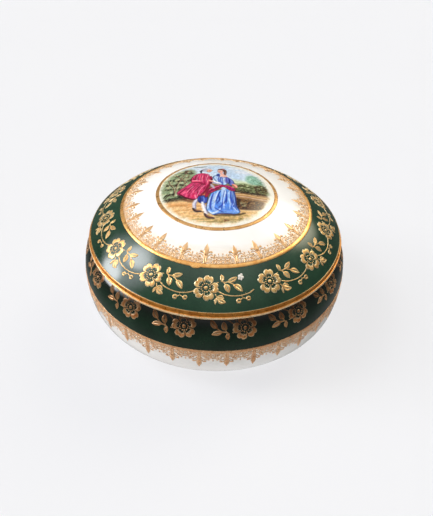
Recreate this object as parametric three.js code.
// Round porcelain trinket box: a bowl-shaped base and a domed lift-off lid.
// Millimetres, +Z up. The origin is on the axis, in the plane that the foot ring stands on.

import * as THREE from "three";

// ---- Driving dimensions ----

const SEGMENTS = 64; // facets around the axis

// Base, outside
const BASE_MAX_RADIUS = 75; // the belly, at its widest
const BASE_MAX_HEIGHT = 22; // height of the widest ring above the table
const SHOULDER_RADIUS = 66.8; // where the belly turns in under the lid's rim
const SHOULDER_HEIGHT = 43.9;
const LEDGE_HEIGHT = 44.7; // flat seat for the lid
const LEDGE_OUTER_RADIUS = 66;

// Foot ring
const FOOT_INNER_RADIUS = 46.4;
const FOOT_OUTER_RADIUS = 49.6; // with the inner radius, the flat that meets the table
const FOOT_ROUNDING = 0.7;
const FOOT_JOIN_RADIUS = 51; // where the foot ring's outside runs into the belly
const FOOT_JOIN_HEIGHT = 2.3;
const UNDERSIDE_HEIGHT = 3.2; // recessed panel inside the foot ring

// Gallery: the upstanding collar that keeps the lid from sliding off
const GALLERY_OUTER_RADIUS = 63;
const GALLERY_INNER_RADIUS = 60.2;
const GALLERY_TOP = 48.2;

// Base, inside
const BOWL_MAX_RADIUS = 71;
const BOWL_MAX_HEIGHT = 23;
const BOWL_NECK_HEIGHT = 42.4; // where the gallery's inner wall opens into the bowl
const BOWL_FLOOR_RADIUS = 50;
const BOWL_FLOOR_HEIGHT = 7;

// Lid
const SEAT_GAP = 0.3; // clearance between the lid's rim and the ledge
const LID_BOTTOM = LEDGE_HEIGHT + SEAT_GAP;
const LID_RIM_RADIUS = 70; // outermost lip of the lid
const LID_RISE = 25.3; // height of the crown above the lid's bottom edge
const DOME_RADIUS = 68.4; // where the dome stops and the gilded rim starts
const LID_WALL = 3.4; // thickness, measured square to the dome
const LID_SKIRT_RADIUS = 63.8; // inside wall that goes down around the gallery
const RIM_ROUNDING = 0.6;

// Fullness: the handles of the curves between those places
const BELLY_LOW_HANDLE = [BASE_MAX_RADIUS + 1.8, 3.6]; // wide, so the belly swells out just above the foot
const BELLY_MID_DROP = 9; // straight stretch below and above the widest ring
const BELLY_MID_RISE = 11.5;
const SHOULDER_HANDLE = [72.4, 41.2];
const NECK_HANDLE = [65.8, 39.8];
const BOWL_MID_RISE = 10.5;
const BOWL_MID_DROP = 8.5;
const BOWL_FLOOR_HANDLE = [BOWL_MAX_RADIUS + 0.8, BOWL_FLOOR_HEIGHT + 0.8];

// ---- Profile helpers: all points are [radius, height] ----

// Points on a cubic curve from a to d, without the first one.
function curve(a, b, c, d, steps) {
  const path = new THREE.CubicBezierCurve(
    new THREE.Vector2(...a),
    new THREE.Vector2(...b),
    new THREE.Vector2(...c),
    new THREE.Vector2(...d),
  );
  return path.getPoints(steps).slice(1).map((p) => [p.x, p.y]);
}

// Points on an arc about a centre, both ends included, angles in degrees.
function arc(centre, radius, from, to, steps) {
  return Array.from({ length: steps + 1 }, (_, i) => {
    const angle = THREE.MathUtils.degToRad(from + ((to - from) * i) / steps);
    return [
      centre[0] + radius * Math.cos(angle),
      centre[1] + radius * Math.sin(angle),
    ];
  });
}

// The lid's outer surface: almost a parabola, falling faster close to the rim.
function domeHeight(radius) {
  const x = radius / LID_RIM_RADIUS;
  return LID_BOTTOM + LID_RISE - LID_RIM_RADIUS * (0.275 * x ** 2 + 0.062 * x ** 8);
}

// Downward steepness of the dome at a radius.
function domeSlope(radius) {
  const x = radius / LID_RIM_RADIUS;
  return 0.55 * x + 0.496 * x ** 7;
}

// The lid's inner surface, one wall thickness under the dome.
function liningHeight(radius) {
  return domeHeight(radius) - LID_WALL * Math.hypot(1, domeSlope(radius));
}

function spin(name, profile, material) {
  const points = profile.map(([radius, height]) => new THREE.Vector2(radius, height));
  const geometry = new THREE.LatheGeometry(points, SEGMENTS);
  geometry.rotateX(Math.PI / 2);
  const mesh = new THREE.Mesh(geometry, material);
  mesh.name = name;
  return mesh;
}

// ---- Base: foot ring, belly, seat, gallery and hollow bowl in one piece of porcelain ----

function footRing() {
  const inner = FOOT_INNER_RADIUS - FOOT_ROUNDING;
  return [
    [0, UNDERSIDE_HEIGHT],
    [inner - 1.2, UNDERSIDE_HEIGHT],
    [inner, UNDERSIDE_HEIGHT - 1],
    ...arc([FOOT_INNER_RADIUS, FOOT_ROUNDING], FOOT_ROUNDING, 180, 270, 2),
    ...arc([FOOT_OUTER_RADIUS, FOOT_ROUNDING], FOOT_ROUNDING, 270, 360, 2),
    [FOOT_JOIN_RADIUS, FOOT_JOIN_HEIGHT],
  ];
}

function belly() {
  return [
    ...curve(
      [FOOT_JOIN_RADIUS, FOOT_JOIN_HEIGHT],
      BELLY_LOW_HANDLE,
      [BASE_MAX_RADIUS, BASE_MAX_HEIGHT - BELLY_MID_DROP],
      [BASE_MAX_RADIUS, BASE_MAX_HEIGHT],
      10,
    ),
    ...curve(
      [BASE_MAX_RADIUS, BASE_MAX_HEIGHT],
      [BASE_MAX_RADIUS, BASE_MAX_HEIGHT + BELLY_MID_RISE],
      SHOULDER_HANDLE,
      [SHOULDER_RADIUS, SHOULDER_HEIGHT],
      8,
    ),
  ];
}

function seatAndGallery() {
  const rounding = (GALLERY_OUTER_RADIUS - GALLERY_INNER_RADIUS) / 2;
  const crest = [GALLERY_INNER_RADIUS + rounding, GALLERY_TOP - rounding];
  return [
    [LEDGE_OUTER_RADIUS, LEDGE_HEIGHT],
    [GALLERY_OUTER_RADIUS + 0.4, LEDGE_HEIGHT],
    [GALLERY_OUTER_RADIUS, LEDGE_HEIGHT + 0.4],
    ...arc(crest, rounding, 0, 180, 5),
  ];
}

function bowl() {
  return [
    [GALLERY_INNER_RADIUS, BOWL_NECK_HEIGHT],
    ...curve(
      [GALLERY_INNER_RADIUS, BOWL_NECK_HEIGHT],
      NECK_HANDLE,
      [BOWL_MAX_RADIUS, BOWL_MAX_HEIGHT + BOWL_MID_RISE],
      [BOWL_MAX_RADIUS, BOWL_MAX_HEIGHT],
      6,
    ),
    ...curve(
      [BOWL_MAX_RADIUS, BOWL_MAX_HEIGHT],
      [BOWL_MAX_RADIUS, BOWL_MAX_HEIGHT - BOWL_MID_DROP],
      BOWL_FLOOR_HANDLE,
      [BOWL_FLOOR_RADIUS, BOWL_FLOOR_HEIGHT],
      8,
    ),
    [0, BOWL_FLOOR_HEIGHT],
  ];
}

// ---- Lid: dome, rolled rim, flat seat and lining in one piece of porcelain ----

function lidOutside() {
  const steps = 12;
  const dome = Array.from({ length: steps + 1 }, (_, i) => {
    const radius = DOME_RADIUS * Math.sin((Math.PI / 2) * (i / steps));
    return [radius, domeHeight(radius)];
  });
  const lip = [LID_RIM_RADIUS - RIM_ROUNDING, LID_BOTTOM + RIM_ROUNDING];
  return [
    ...dome,
    [DOME_RADIUS + 0.45, domeHeight(DOME_RADIUS) - 0.35],
    [DOME_RADIUS + 0.75, LID_BOTTOM + 1.6],
    ...arc(lip, RIM_ROUNDING, 60, -90, 5),
  ];
}

function lidInside() {
  const steps = 8;
  const lining = Array.from({ length: steps + 1 }, (_, i) => {
    const radius = LID_SKIRT_RADIUS * Math.cos((Math.PI / 2) * (i / steps));
    return [i === steps ? 0 : radius, liningHeight(radius)];
  });
  return [
    [LID_SKIRT_RADIUS + 0.5, LID_BOTTOM],
    [LID_SKIRT_RADIUS, LID_BOTTOM + 0.5],
    ...lining,
  ];
}

// ---- Assembly ----

const basePorcelain = new THREE.MeshStandardMaterial({
  name: "base_porcelain",
  color: 0x1b3a26,
  roughness: 0.12,
});
const lidPorcelain = new THREE.MeshStandardMaterial({
  name: "lid_porcelain",
  color: 0x24482f,
  roughness: 0.12,
});

const box = new THREE.Group();
box.name = "porcelain_trinket_box";
box.add(
  spin("base", [...footRing(), ...belly(), ...seatAndGallery(), ...bowl()], basePorcelain),
);
box.add(spin("lid", [...lidOutside(), ...lidInside()].reverse(), lidPorcelain));

export default box;
